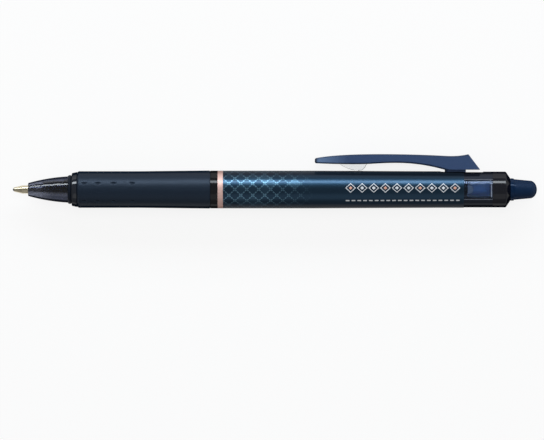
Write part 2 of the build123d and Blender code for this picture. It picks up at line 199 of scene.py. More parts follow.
def dress(material, *pieces):
    """Gives pieces a material. A CAD piece is given by its name."""
    pieces = [frame["nodes"][piece] if isinstance(piece, str) else piece for piece in pieces]
    for piece in pieces:
        piece.data.materials.clear()
        piece.data.materials.append(material)
    wearers = [piece.name for piece in pieces]
    print(material.name, "of", len(material.node_tree.nodes), "nodes on", wearers)


print("CAD pieces to dress or replace:", len(frame["nodes"]))

# %% [markdown]
# ## Table
#
# The table is a sheet of white paper. Light Path lets most of what the camera, a reflection or a
# clear plastic sees of it be plain white, while the rest is lit paper, which keeps the pen's
# soft shadow. More light would also whiten it, but would wash out the pen.

# %% Table
floor_half, white_part = 3.0, 0.85
signs = ((-1, -1), (1, -1), (1, 1), (-1, 1))
floor_corners = [(floor_half * x, floor_half * y, floor_height) for x, y in signs]
floor_mesh = bpy.data.meshes.new("table")
floor_mesh.from_pydata(floor_corners, [], [(0, 1, 2, 3)])
floor = bpy.data.objects.new("table", floor_mesh)
bpy.context.scene.collection.objects.link(floor)
paper, paper_shader = finish_of("white_paper_sheet", Base_Color="#f2f2f2", Roughness=0.9)
rays = add(paper, "LightPath").outputs
seen = add(paper, "Math", {0: rays["Is Camera Ray"], 1: rays["Is Glossy Ray"]}, operation="MAXIMUM")
seen = add(paper, "Math", {0: seen, 1: rays["Is Transmission Ray"]}, operation="MAXIMUM")
white_share = add(paper, "Math", {0: seen, 1: white_part}, operation="MULTIPLY")
plain_white = add(paper, "Emission", {"Color": "#ffffff", "Strength": 1.0})
lit_and_white = add(paper, "MixShader", {0: white_share, 1: paper_shader, 2: plain_white})
feed(paper.node_tree.nodes["Material Output"], {"Surface": lit_and_white})
dress(paper, floor)

# %% [markdown]
# ## World and lamps
#
# The lamps stay at a level where a grey card would look as grey as it is. A broad lamp over the
# camera lights the colours, and shows in no reflection. Two long softboxes lie along the pen: the
# key on the clip's side, a little bluish, whose reflection is the bright stripe along the barrel,
# and a weaker one on the other side. One lamp could light the pen, but glossy round pieces are
# drawn by the shapes that they mirror, so each stripe needs its own box.

# %% World and lamps
room_light = 0.24
world = bpy.data.worlds.new("studio")
bpy.context.scene.world = world
world.use_nodes = True
feed(world.node_tree.nodes["Background"], {"Color": "#ffffff", "Strength": room_light})


def softbox(name, angle, distance, length, height, watts):
    """A long lamp that looks at the pen, turned `angle` degrees from the camera's side towards the
    clip's side."""
    data = bpy.data.lights.new(name, "AREA")
    data.shape = "RECTANGLE"
    data.size = length
    data.size_y = height
    data.energy = watts
    lamp = bpy.data.objects.new(name, data)
    way = cos(radians(angle)) * face_way + sin(radians(angle)) * clip_way
    up = np.cross(way, along)
    facing = Matrix((along, up, way)).transposed().to_4x4()
    lamp.matrix_world = Matrix.Translation(Vector(aim + distance * way)) @ facing
    bpy.context.scene.collection.objects.link(lamp)
    return lamp


key = softbox("key_softbox", angle=49, distance=0.7, length=1.1, height=0.18, watts=4.4)
key.data.color = (0.86, 0.94, 1.0)
softbox("fill_softbox", angle=-46, distance=0.8, length=1.0, height=0.5, watts=0.35)
overhead = softbox("overhead_lamp", angle=8, distance=1.6, length=0.8, height=0.8, watts=10.0)
overhead.visible_glossy = False
overhead.visible_transmission = False

# %% [markdown]
# ## Rounded profiles
#
# Most of a pen is turned: a profile swept round the axis. Corners of moulded plastic and rubber are
# never sharp, because the mould's own corners aren't. A Bevel modifier could round them afterwards,
# but rounding the profile first gives every piece even rows of faces.

# %% Rounded profiles
def rounded(corners):
    """Profile corners (station, radius, rounding) with each corner turned into a short curve.
    Formula: between two points set back from the corner P by the rounding, A and B, the curve is
    the parabola (1-t)^2 A + 2t(1-t) P + t^2 B. A and B stay short of the middle of their edges."""
    points, just_under_half = [], 0.49
    t = np.linspace(0, 1, 6)[:, None]
    for here, (station, radius, rounding) in enumerate(corners):
        corner = np.array([station, radius])
        if not rounding:
            points.append(corner[None])
            continue
        before = np.array(corners[here - 1][:2]) - corner
        after = np.array(corners[(here + 1) % len(corners)][:2]) - corner
        a = corner + before * min(rounding / np.linalg.norm(before), just_under_half)
        b = corner + after * min(rounding / np.linalg.norm(after), just_under_half)
        points.append((1 - t) ** 2 * a + 2 * t * (1 - t) * corner + t**2 * b)
    return np.vstack(points)


print("one rounded corner has", len(rounded([(0, 0, 0), (1, 0, 0.2), (1, 1, 0)])) - 2, "points")

# %% [markdown]
# ## From a grid to a mesh
#
# Every new piece is a grid of points. Its faces join each point with its neighbours, which numpy
# works out as whole arrays. A closed piece has a volume, and its sign says which way the faces
# look, so the same function makes sure that they look outwards.

# %% Grid piece
def grid_piece(name, points, body, replaced=(), closed_rows=True):
    """A mesh from points on a grid (rows, columns, 3). Columns always close on themselves; rows
    close too for a ring-like piece, and otherwise a fan closes each end. Faces are quads between
    neighbours, and they are turned over if the enclosed volume comes out negative."""
    rows, columns = points.shape[:2]
    row = np.arange(rows if closed_rows else rows - 1)[:, None]
    column = np.arange(columns)[None, :]
    this_row, next_row = row * columns, (row + 1) % rows * columns
    across = (column + 1) % columns
    quads = [this_row + column, this_row + across, next_row + across, next_row + column]
    quads = np.stack(quads, axis=-1).reshape(-1, 4)
    vertices = points.reshape(-1, 3)
    faces = quads.tolist()
    if not closed_rows:
        poles = np.array([points[0].mean(axis=0), points[-1].mean(axis=0)])
        vertices = np.vstack([vertices, poles])
        first, last = column[0], (rows - 1) * columns
        second = (first + 1) % columns
        start = np.stack([np.full(columns, rows * columns), second, first], axis=-1)
        end = np.stack([np.full(columns, rows * columns + 1), last + first, last + second], axis=-1)
        faces += start.tolist() + end.tolist()
    a, b, c, d = (vertices[quads[:, k]] for k in range(4))
    volume = np.sum(np.cross(a, b) * c) + np.sum(np.cross(a, c) * d)
    if volume < 0:
        faces = [face[::-1] for face in faces]
    mesh = bpy.data.meshes.new(name)
    mesh.from_pydata(vertices.tolist(), [], faces)
    mesh.shade_smooth()
    mesh.set_sharp_from_angle(angle=radians(35))
    piece = bpy.data.objects.new(name, mesh)
    bpy.context.scene.collection.objects.link(piece)
    if body:
        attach(piece, body)
    if replaced:
        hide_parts(*replaced)
    print(name, "has", len(mesh.polygons), "faces")
    return piece


# %% [markdown]
# ## Turned surfaces
#
# A turned surface is a function of two parameters. One runs along the profile, which gives a
# station and a radius, and the other is the angle round the axis. The Screw modifier does the same,
# but a formula can also let the radius change with the angle, as the thread and the grip need.

# %% Turned surfaces
def place(station, radius, angle):
    """Points in the pen's frame. Formula: station along the axis, plus the radius times the
    cosine of the angle towards the clip and the sine towards the camera's side."""
    station, radius, angle = np.broadcast_arrays(station, radius, angle)
    return (
        station[..., None] * along
        + (radius * np.cos(angle))[..., None] * clip_way
        + (radius * np.sin(angle))[..., None] * face_way
    ) * MM


def full_turn(sides):
    """Angles of one turn, as a row."""
    return np.linspace(0, 2 * pi, sides, endpoint=False)[None, :]


def swept(profile, angle):
    """A profile of (station, radius) in mm at every angle: one row of points for each."""
    return place(profile[:, :1], profile[:, 1:], angle)


print("5 mm from the axis towards the clip is", place(0.0, 5.0, 0.0).round(5))

# %% [markdown]
# ## The clear nose
#
# The nose is one clear moulding, tinted like smoke, with a bulged outside and a stepped bore that
# guides the tip and seats the spring. It can be a true cone, but the real one swells by a third of
# a millimetre, which is what bends its highlights. The bulge is a parabola over the straight line
# between the mouth and the ring.

# %% Nose cone
mouth, nose_end = front("nose_cone"), rear("nose_cone")
nose_rear, spring_seat = front("nose_ring"), front("return_spring")
mouth_radius, nose_radius, swell = 1.80, 3.62, 0.32
tip_bore, guide_bore, spring_bore, rear_bore, plug_radius = 1.25, 1.62, 2.37, 2.95, 3.45
bore_step, guide_start = nose_end - 4.5, mouth + 1.9
share = np.linspace(0, 1, 40)
bulge = mouth_radius + (nose_radius - mouth_radius) * share + 4 * swell * share * (1 - share)
outside = np.stack([mouth + (nose_rear - mouth) * share, bulge], axis=-1)
lip = rounded([(mouth, tip_bore, 0.1), (mouth, mouth_radius, 0.18), (*outside[2], 0)])
inside = rounded(
    [
        (nose_rear, plug_radius, 0.05),
        (nose_end, plug_radius, 0.15),
        (nose_end, rear_bore, 0.1),
        (bore_step, rear_bore, 0.2),
        (bore_step, spring_bore, 0.2),
        (spring_seat, spring_bore, 0.1),
        (spring_seat, guide_bore, 0.08),
        (guide_start, guide_bore, 0.2),
        (guide_start, tip_bore, 0.1),
    ]
)
around = full_turn(144)
nose_points = swept(np.vstack([lip, outside[3:], inside]), around)
nose = grid_piece("nose_shell", nose_points, "front_section", ["nose_cone"])

# %% [markdown]
# ## The return spring
#
# A compression spring of drawn steel wire. Its coils are open in the middle and lie together at
# both ends, which is how such a spring gets flat seats. The Screw modifier would give one even
# pitch, so the shape is a circle carried by formula along a helix whose pitch changes. It is
# squeezed between the nose and the refill, and runs from the nose's spring seat to the rear end of
# the CAD spring, which rests on the refill.

# %% Spring
wire, coil_radius, coils, closed = 0.36, 2.06, 12, 1.0
spring_end = rear("return_spring")


def coil_spring(start, end):
    """Centre line: the angle grows evenly, and the station grows by one wire per turn in the
    closed end turns and evenly between them. The wire is a circle in the plane of the axis and
    the radius."""
    turns = np.linspace(0, coils, coils * 40 + 1)[:, None]
    open_turns = coils - 2 * closed
    pitch = ((end - start - wire) - 2 * closed * wire) / open_turns
    opening = pitch * np.clip(turns - closed, 0, open_turns)
    station = wire / 2 + wire * np.minimum(turns, closed) + opening
    station = start + station + wire * np.maximum(turns - (coils - closed), 0)
    wire_angle = full_turn(14)
    radius = coil_radius + wire / 2 * np.sin(wire_angle)
    return place(station + wire / 2 * np.cos(wire_angle), radius, 2 * pi * turns)


spring = grid_piece("coil_spring", coil_spring(spring_seat, spring_end), None, closed_rows=False)
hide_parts("return_spring")
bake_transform(spring)

# %% [markdown]
# ## The threaded inner tube
#
# The front section's inner tube shows twice: as the glossy shoulder ahead of the grip, and as the
# threaded spigot when the pen is unscrewed. A boolean cut would leave slivers, so the thread is cut
# by formula: the radius is a function of the station and the angle, and it repeats once per turn
# and once per 1.5 mm.

# %% Inner tube
shoulder, spigot_end = front("grip_core"), rear("grip_core")
grip_front, ring_front = front("grip_sleeve"), front("trim_ring")
shoulder_radius, shoulder_rear_radius, under_grip = 4.52, 4.84, 4.15
crest, thread_pitch, thread_depth = 3.90, 1.5, 0.22
lead_in, core_bore, socket_end = 3.70, 3.25, grip_front + 1.05


def threaded(station, angle):
    """Radius of a right-handed round thread. Formula: the crest less the depth times a raised
    cosine of the phase, which is station over pitch less angle over a full turn. The thread
    starts 1 mm behind the ring and runs out 0.6 mm before the spigot's end."""
    phase = 2 * pi * station / thread_pitch - angle
    run_in = np.clip((station - 1.0) / 0.5, 0, 1)
    run_out = np.clip((spigot_end - 0.6 - station) / 0.4, 0, 1)
    return crest - thread_depth * (run_in * run_out) * (0.5 - 0.5 * np.cos(phase))


shoulder_profile = rounded(
    [
        (shoulder, plug_radius, 0.1),
        (shoulder, shoulder_radius, 0.3),
        (grip_front, shoulder_rear_radius, 0.12),
        (grip_front, under_grip, 0.05),
        (ring_front, under_grip, 0),
        (ring_front, crest, 0),
    ]
)
bore_profile = rounded(
    [
        (spigot_end, lead_in, 0.1),
        (spigot_end, core_bore, 0.1),
        (socket_end, core_bore, 0),
        (socket_end, plug_radius, 0),
    ]
)
spigot = np.linspace(ring_front + 0.05, spigot_end - 0.25, 180)[:, None]
spigot_points = place(spigot, threaded(spigot, around), around)
core_points = [swept(shoulder_profile, around), spigot_points, swept(bore_profile, around)]
core = grid_piece("threaded_core", np.vstack(core_points), "front_section", ["grip_core"])

# %% [markdown]
# ## The rubber grip
#
# The grip is a moulded rubber sleeve with four dimples in each of six rows near the front. Each
# dimple is a shallow lens. Cutting them would leave hard rims, so the sleeve is a height field
# instead: its radius is lowered by a smooth bump at every dimple.

# %% Grip sleeve
grip_rear = rear("grip_sleeve")
front_radius, rear_radius, parallel = 5.05, 5.26, 17.5
dimple_length, dimple_width, dimple_depth = 1.05, 0.46, 0.26
first_dimple, first_step, step_growth = grip_front + 2.1, 3.75, 1.17
steps = first_step * step_growth ** np.arange(3)
dimple_stations = first_dimple + np.concatenate([[0], np.cumsum(steps)])
dimple_angles = np.radians(10.5 + 60 * np.arange(6))


def dimpled(station, angle, radius):
    """Radius less the dimple's depth times a raised cosine of the distance from the nearest
    dimple's middle. The distance is measured in half lengths of 1.05 mm along the pen and half
    widths of 0.46 mm round it, and stops counting at one."""
    depth = np.zeros(np.broadcast(station, angle).shape)
    for dimple_station in dimple_stations:
        for dimple_angle in dimple_angles:
            off = (angle - dimple_angle + pi) % (2 * pi) - pi
            distance = np.hypot((station - dimple_station) / dimple_length, off * radius / dimple_width)
            depth = depth + 0.5 + 0.5 * np.cos(pi * np.minimum(distance, 1))
    return radius - dimple_depth * depth


fine_turn = full_turn(264)
station = np.linspace(grip_front + 0.5, grip_rear - 0.3, 230)[:, None]
places = [grip_front, grip_front + parallel, grip_rear]
radius = np.interp(station, places, [front_radius, front_radius, rear_radius])
front_edge = rounded([(grip_front, under_grip, 0), (grip_front, front_radius, 0.4)])
rear_edge = rounded([(grip_rear, rear_radius, 0.2), (grip_rear, under_grip, 0)])
side_points = place(station, dimpled(station, fine_turn, radius), fine_turn)
grip_points = np.vstack([swept(front_edge, fine_turn), side_points, swept(rear_edge, fine_turn)])
grip = grid_piece("dimpled_grip", grip_points, "front_section", ["grip_sleeve"])

# %% [markdown]
# ## The eraser
#
# The rubber stud at the tail rubs the gel ink away by friction heat. It is turned, with a round
# end worn smooth by rubbing. A half sphere would meet the tapered shank at a crease, so the end is
# an ellipse, which leaves the shank without a kink.

# %% Eraser stud
cap_rear, stud_end = rear("tail_cap"), rear("eraser")
dome_length, dome_radius, shank_end_radius = 1.95, 2.45, 2.465
hole, barb, flange_radius, shank_radius = 1.30, 1.64, 3.08, 2.85
root_start, plate_front, flange_rear = cap_rear - 1.56, cap_rear - 0.66, cap_rear + 1.0
dome = np.linspace(0, pi / 2, 24)
dome_stations = stud_end - dome_length + dome_length * np.sin(dome)
dome_points = np.stack([dome_stations, dome_radius * np.cos(dome)], axis=-1)
root = rounded(
    [
        (root_start, 0.0, 0),
        (root_start, hole, 0.1),
        (plate_front, barb, 0.1),
        (plate_front, hole, 0.05),
        (cap_rear, hole, 0.05),
        (cap_rear, flange_radius, 0.15),
        (flange_rear, flange_radius, 0.25),
        (flange_rear, shank_radius, 0.12),
        (stud_end - dome_length - 0.2, shank_end_radius, 0),
    ]
)
stud_points = swept(np.vstack([root[1:], dome_points[:-1]]), around)
stud = grid_piece("eraser_stud", stud_points, "barrel", ["eraser"], closed_rows=False)

# %% [markdown]
# ## The tail cap
#
# The cap is a smoke-tinted clear moulding that snaps over the barrel's rear end, with a hole that
# holds the eraser's root. The CAD piece has the same form with sharp edges. Swept again from a
# rounded profile, its edges catch thin lines of light.

# %% Tail cap
cap_front = front("tail_cap")
cap_radius, cap_end_radius, skirt_bore, cap_bore = 4.95, 3.12, 4.40, 3.05
chamfer_start, skirt_end = cap_front + 3.75, cap_front + 2.0
cap_profile = rounded(
    [
        (cap_front, skirt_bore, 0.08),
        (cap_front, cap_radius, 0.1),
        (chamfer_start, cap_radius, 0.3),
        (cap_rear, cap_end_radius, 0.2),
        (cap_rear, hole, 0.05),
        (plate_front, hole, 0.05),
        (plate_front, cap_bore, 0.2),
        (skirt_end, cap_bore, 0.05),
        (skirt_end, skirt_bore, 0.1),
    ]
)
cap = grid_piece("tail_cap_shell", swept(cap_profile, around), "barrel", ["tail_cap"])

# %% [markdown]
# ## The clip's pad
#
# A clear drop under the clip's front holds the cloth or the pocket. It is flat on both sides and
# smooth below, where it slopes in gently and rises steeply behind. A subdivided box could be pushed
# into that form by hand, but two cubic curves give it exactly: they meet level at the lowest point,
# and are carried across the pad's width with bevelled edges.

# %% Pad
def cubic(p0, p1, p2, p3):
    """Formula: (1-t)^3 P0 + 3t(1-t)^2 P1 + 3t^2(1-t) P2 + t^3 P3, for 25 even values of t at once."""
    t = np.linspace(0, 1, 25)[:, None]
    p0, p1, p2, p3 = (np.array(p) for p in (p0, p1, p2, p3))
    return (1 - t) ** 3 * p0 + 3 * t * (1 - t) ** 2 * p1 + 3 * t**2 * (1 - t) * p2 + t**3 * p3


pad_vertices = np.array([v.co for v in frame["nodes"]["clip_pad"].data.vertices]) / MM
heights = pad_vertices @ clip_way
pad_front, pad_rear = front("clip_pad"), rear("clip_pad")
half_width, bevel, into_clip = 1.4, 0.12, 0.55
low, high = heights.min(), heights.max() - into_clip
lowest = (pad_front + 5.1, low)
slope = cubic((pad_front, low + 1.72), (pad_front + 1.7, low + 0.6), (pad_front + 3.5, low), lowest)
back = cubic(lowest, (pad_front + 6.5, low), (pad_rear - 0.5, low + 0.8), (pad_rear, low + 1.9))
roof = np.array([(pad_rear, high), (pad_front, high)])
outline = np.vstack([slope[:-1], back, roof])
inwards = outline.mean(axis=0) - outline
inset = outline + inwards * bevel / np.linalg.norm(inwards, axis=1, keepdims=True)
flat_half = half_width - bevel
loops = [(inset, -half_width), (outline, -flat_half), (outline, flat_half), (inset, half_width)]
pad_points = [loop[:, :1] * along + loop[:, 1:] * clip_way + out * face_way for loop, out in loops]
pad = grid_piece("clear_pad", np.array(pad_points) * MM, "clip_slide", ["clip_pad"], closed_rows=False)

# %% [markdown]
# ## What patterns read
#
# Every pattern is drawn in the pen's own directions. Object coordinates are the piece's place in
# metres, so they are scaled to millimetres and rolled about the axis until one of them points at
# the clip and one at the camera's side. The angle round the axis follows from those two. It is zero
# on the camera's side, and a pattern that repeats a whole number of times round it has no seam.

# %% Coordinates for patterns
def pen_coordinates(material):
    """Nodes for the place in mm, its three parts, and the angle round the pen's axis."""
    in_metres = add(material, "TexCoord").outputs["Object"]
    in_mm = add(material, "VectorMath", {0: in_metres, 3: 1 / MM}, operation="SCALE")
    roll = {"Vector": in_mm, "Angle": clip_dip}
    rolled = add(material, "VectorRotate", roll, rotation_type="X_AXIS")
    parts = add(material, "SeparateXYZ", {0: rolled}).outputs
    angle = add(material, "Math", {0: parts[1], 1: parts[2]}, operation="ARCTAN2")
    return rolled, parts, angle


print("patterns are rolled by", round(degrees(clip_dip), 2), "degrees")

# %% [markdown]
# ## Grain and unevenness
#
# No real surface is even. Moulded plastic has a fine spark-eroded grain, rubber is dusty, and
# turned metal has rings. All of these are noise at different sizes, stretched or not. One function
# adds the three things that noise gives: a little change of colour, a little change of gloss, and
# a bump. The real grain of a mould is about 0.05 mm wide and a lathe's rings are closer still, both
# too fine to show here, so they are drawn several times as coarse.

# %% Grain
def grain(material, shader, size, colours, gloss, depth, stretch=(1, 1, 1)):
    """Colour, roughness and bump from noise. `size` is the grain's width in mm, `colours` are the
    two hex colours that it runs between, `gloss` the two roughnesses, `depth` the bump in mm, and
    `stretch` how many times longer the grain is each way. Gives the colour, the parts of the place
    and the angle, for the patterns that go over it."""
    rolled, parts, angle = pen_coordinates(material)
    squeeze = tuple(1 / (size * times) for times in stretch)
    scaled = add(material, "VectorMath", {0: rolled, 1: squeeze}, operation="MULTIPLY")
    noise = add(material, "TexNoise", {"Vector": scaled, "Scale": 1.0, "Detail": 3.0})
    tint = add(material, "Mix", {0: noise, 6: colours[0], 7: colours[1]}, data_type="RGBA")
    rough = add(material, "MapRange", {0: noise, 1: 0.3, 2: 0.7, 3: gloss[0], 4: gloss[1]})
    bump = add(material, "Bump", {"Height": noise, "Strength": 1.0, "Distance": depth * MM})
    feed(shader, {"Base Color": tint, "Roughness": rough, "Normal": bump})
    return tint, parts, angle


print("a 0.3 mm grain repeats", round(1 / 0.3, 1), "times per mm")

# %% [markdown]
# ## Gloss and colour at a slant
#
# A perfect surface turns into a mirror when it is seen almost edge on. A moulded one doesn't, since
# its fine roughness hides itself at a slant. So the level of the reflection falls from its full
# value, where the surface faces the eye, to nothing at the rim. The colour changes too: a tinted
# wall is darker when light goes through it at a slant, and so is a metallic ink, whose flakes
# lie flat. Printers call that its flop. The flop used here is partly painted shade at the rims of
# the ring, the clip and the barrel.

# %% Fading gloss and colour
def slant_share(material, start, end, low, high):
    """Runs from low to high as Facing goes from start to end. Facing is one less the cosine of the
    angle of view."""
    slant = add(material, "LayerWeight", {"Blend": 0.5}).outputs["Facing"]
    return add(material, "MapRange", {0: slant, 1: start, 2: end, 3: low, 4: high})


def fade_gloss(material, shader, level, end=0.5):
    """Specular level by the slant. The socket keeps the level for a reader that drops the nodes."""
    shader.inputs["Specular IOR Level"].default_value = level
    feed(shader, {"Specular IOR Level": slant_share(material, 0.15, end, level, 0.0)})


print("a Facing of 0.5 is a view at", round(degrees(np.arccos(1 - 0.5))), "degrees")

# %% [markdown]
# ## Grip rubber
#
# The grip is a soft elastomer from a matt mould. Light scatters at its surface, so its highlight is
# broad and weak, and it takes up dust, which shows as a faint mottling. Sheen would lighten its
# rims as it does velvet's, so the softness comes from roughness alone.

# %% Grip rubber
rubber, shader = finish_of("grip_elastomer_moulded", Specular_Tint="#c0d4f0")
grain(rubber, shader, 0.35, ("#0a131e", "#141f2c"), (0.36, 0.48), 0.006)
fade_gloss(rubber, shader, 0.55, end=0.56)
dress(rubber, grip)

# %% [markdown]
# ## Glossy black plastic
#
# The collar behind the grip is black plastic out of a polished mould. The eye sees almost only
# reflections, so what matters is that they waver a little, as the skin of a moulding does. Pure
# black would look like a hole, so the colour is a very dark grey.

# %% Glossy black
black, shader = finish_of("black_abs_polished")
grain(black, shader, 1.2, ("#08090b", "#0f1013"), (0.10, 0.17), 0.002)
fade_gloss(black, shader, 0.4, end=0.56)
dress(black, "grip_collar")

# %% [markdown]
# ## Smoke-tinted nose
#
# The nose is clear polycarbonate with a smoke dye. Light is tinted each time it goes through a
# wall. The wall is thin at the mouth, so the nose is pale there, and it is darkest at the outline,
# where light has to go through it at a slant. Its side towards the clip is painted darker, as painted
# shade, and the other side is made partly opaque so that it catches the lamps and renders lighter,
# as painted light. Absorption inside the solid could do it all, but a tint on the surface is what an
# exported model keeps.

# %% Smoke nose
smoke, shader = finish_of("smoke_polycarbonate_polished", IOR=1.585)
colours = ("#565e78", "#626a86")
wall, parts, angle = grain(smoke, shader, 2.0, colours, (0.04, 0.08), 0.002, stretch=(3, 1, 1))
thinness = add(smoke, "MapRange", {0: parts[0], 1: mouth + 3.0, 2: mouth + 7.0, 3: 1.0, 4: 0.0})
thin = add(smoke, "Mix", {0: thinness, 6: wall, 7: "#a3a9c0"}, data_type="RGBA")
# Painted shade: the clip's side of the nose is multiplied darker.
clip_side_painted_shade = add(smoke, "MapRange", {0: angle, 1: 0.1, 2: 0.4, 3: 0.0, 4: 1.0})
tint_and_painted_shade = add(smoke, "Mix", {0: clip_side_painted_shade, 6: thin, 7: "#b0b3be"}, data_type="RGBA", blend_type="MULTIPLY")
rim = slant_share(smoke, 0.2, 0.5, 0.0, 1.0)
tinted = add(smoke, "Mix", {0: rim, 6: tint_and_painted_shade, 7: "#20232c"}, data_type="RGBA")
# Painted light: the side away from the clip loses transmission, so it catches the lamps and renders
# lighter.
lighter_side_painted_light = add(smoke, "MapRange", {0: angle, 1: -0.2, 2: -0.5, 3: 0.0, 4: 0.4})
clearness = slant_share(smoke, 0.25, 0.5, 1.0, 0.0)
see_through = add(smoke, "Math", {0: clearness, 1: lighter_side_painted_light}, operation="SUBTRACT", use_clamp=True)
feed(shader, {"Base Color": tinted, "Transmission Weight": see_through})
fade_gloss(smoke, shader, 0.75, end=0.44)
dress(smoke, nose)

# %% [markdown]
# ## Smoke-tinted cap and shoulder
#
# The cap's wall and the inner tube's shoulder are the same dyed plastic, but so thick that no light
# comes through. They are made opaque and nearly black, which renders faster and looks the same.
# The shoulder is the bluer and glossier of the two.

# %% Smoke cap and shoulder
dark_smoke, shader = finish_of("dark_smoke_polycarbonate")
grain(dark_smoke, shader, 2.0, ("#090b14", "#0f1119"), (0.09, 0.13), 0.002)
fade_gloss(dark_smoke, shader, 0.5, end=0.57)
dress(dark_smoke, cap)

shoulder_smoke, shader = finish_of("shoulder_smoke_polycarbonate")
grain(shoulder_smoke, shader, 2.0, ("#0a1019", "#0f1622"), (0.06, 0.10), 0.002)
fade_gloss(shoulder_smoke, shader, 0.8, end=0.52)
dress(shoulder_smoke, core)

# %% [markdown]
# ## Rose-gold ring
#
# The ring is turned brass under a rose-gold lacquer. About half of its colour is the metal's
# reflection and half is the lacquer's pearl pigment. Bare metal would turn as dark as the room
# between the lamps, and the pigment keeps it pink there. The lathe leaves fine rings round it, so
# the bump runs along the pen and is stretched round it.

# %% Rose gold
half_metal = {"Metallic": 0.55, "Specular_IOR_Level": 0.1, "Specular_Tint": "#3a2a26"}
rose, shader = finish_of("rose_gold_lacquer_on_brass", **half_metal)
colours = ("#deb8af", "#e9c5bc")
pink = grain(rose, shader, 0.12, colours, (0.40, 0.50), 0.003, stretch=(1, 12, 12))[0]
# Flop and painted shade: the ring's colour is mixed darker at a slant, partly the pigment's flop and
# partly painted shade at its rims.
flop_and_painted_rim_shade = slant_share(rose, 0.25, 0.55, 0.0, 0.6)
flopped_with_painted_rim_shade = add(rose, "Mix", {0: flop_and_painted_rim_shade, 6: pink, 7: "#8a6e66"}, data_type="RGBA")
feed(shader, {"Base Color": flopped_with_painted_rim_shade})
dress(rose, "trim_ring")

# %% [markdown]
# ## Foil print
#
# The barrel is wrapped in a printed foil: a dark teal-blue metallic ground under clear lacquer. A
# metal's colour is its reflection, so the ground stays dark where the room is dark and turns bright
# blue along the softbox's stripe. The specular tint darkens what a metal reflects near its edges,
# as a metallic ink does. Behind the ring the foil carries a quilting pattern in lighter blue, a net
# of diamonds with stitched edges. An image texture could carry such a print, but one made of nodes
# stays sharp from any distance.
#
# The net is made from two slanted counts. Each is the station over 3.3 mm plus or minus the share
# of a turn times ten, so each rises by one from one slanted line to the next. The distance to the
# nearest whole number gives the lines, and the whole part says which diamond a point is in.

# %% Foil ground
foil, shader = finish_of(
    "foil_print_lacquered",
    Metallic=1.0,
    Specular_IOR_Level=0.0,
    Specular_Tint="#26231f",
    Coat_Weight=0.22,
    Coat_Roughness=0.15,
)
ground, parts, angle = grain(foil, shader, 0.25, ("#263f55", "#314c63"), (0.29, 0.37), 0.0015)
station = parts[0]
net_length, net_count = 3.3, 10
along_net = add(foil, "Math", {0: station, 1: 1 / net_length}, operation="MULTIPLY")
round_net = add(foil, "Math", {0: angle, 1: net_count / (2 * pi)}, operation="MULTIPLY")
rising = add(foil, "Math", {0: along_net, 1: round_net}, operation="ADD")
falling = add(foil, "Math", {0: along_net, 1: round_net}, operation="SUBTRACT")
print("the net has", net_count, "diamonds round the pen, each", net_length, "mm long")

# %% [markdown]
# ## Diamonds that break up
#
# The print is dense at the ring and thins out towards the clip, diamond by diamond. The two whole
# parts, added and subtracted, name the diamond. The difference is taken round the pen's ten
# repeats, so that a diamond that straddles the back has one name. White noise gives each name a
# chance, and a diamond is kept where its chance is less than the cover at its station.

# %% Diamonds
full_cover, no_cover = 5.0, 23.0
rising_whole = add(foil, "Math", {0: rising}, operation="FLOOR")
falling_whole = add(foil, "Math", {0: falling}, operation="FLOOR")
down = add(foil, "Math", {0: rising_whole, 1: falling_whole}, operation="ADD")
over = add(foil, "Math", {0: rising_whole, 1: falling_whole}, operation="SUBTRACT")
over = add(foil, "Math", {0: over, 1: 2.0 * net_count}, operation="FLOORED_MODULO")
diamond = add(foil, "CombineXYZ", {0: down, 1: over})
chance = add(foil, "TexWhiteNoise", {"Vector": diamond}, noise_dimensions="3D")
cover = add(foil, "MapRange", {0: station, 1: full_cover, 2: no_cover, 3: 1.05, 4: -0.05})
kept = add(foil, "Math", {0: chance, 1: cover}, operation="LESS_THAN")
shade = add(foil, "MapRange", {0: chance.outputs["Color"], 3: -0.2, 4: 0.4})
filled = add(foil, "Math", {0: kept, 1: shade}, operation="MULTIPLY")
lighter = add(foil, "Mix", {0: filled, 6: ground, 7: "#6690ab"}, data_type="RGBA")
print("diamonds thin out from", full_cover, "to", no_cover, "mm behind the ring")

# %% [markdown]
# ## Stitched lines
#
# The diamonds are edged with stitches. A line is where a count is near a whole number, and Pingpong
# gives that distance. The stitches are the same distance on the other count, taken three times as
# fine, so every edge of a diamond has three.

# %% Stitched lines
stitches, line_half, line_fade, gap_half, gap_fade = 3.0, 0.055, 0.085, 0.14, 0.2
lines_full, no_lines = 12.0, 25.0
lines = []
for here, other in ((rising, falling), (falling, rising)):
    near = add(foil, "Math", {0: here, 1: 0.5}, operation="PINGPONG")
    on_line = add(foil, "MapRange", {0: near, 1: line_half, 2: line_fade, 3: 1.0, 4: 0.0})
    finer = add(foil, "Math", {0: other, 1: stitches}, operation="MULTIPLY")
    gap = add(foil, "Math", {0: finer, 1: 0.5}, operation="PINGPONG")
    stitch = add(foil, "MapRange", {0: gap, 1: gap_half, 2: gap_fade, 3: 0.0, 4: 1.0})
    lines.append(add(foil, "Math", {0: on_line, 1: stitch}, operation="MULTIPLY"))
both = add(foil, "Math", {0: lines[0], 1: lines[1]}, operation="MAXIMUM")
near_ring = add(foil, "MapRange", {0: station, 1: lines_full, 2: no_lines, 3: 1.0, 4: 0.0})
stitched = add(foil, "Math", {0: both, 1: near_ring}, operation="MULTIPLY")
netted = add(foil, "Mix", {0: stitched, 6: lighter, 7: "#6d96ae"}, data_type="RGBA")
print("stitches are", round(net_length / 2 / stitches, 2), "mm apart along the pen")

# %% [markdown]
# ## Patchwork chain
#
# Under the clip the foil carries a chain of small patchwork diamonds. In each 3.2 mm of the chain
# the point's distance from the middle, along plus across, is constant on a diamond. A band of that
# distance is the diamond's edge, and a small distance is its heart.

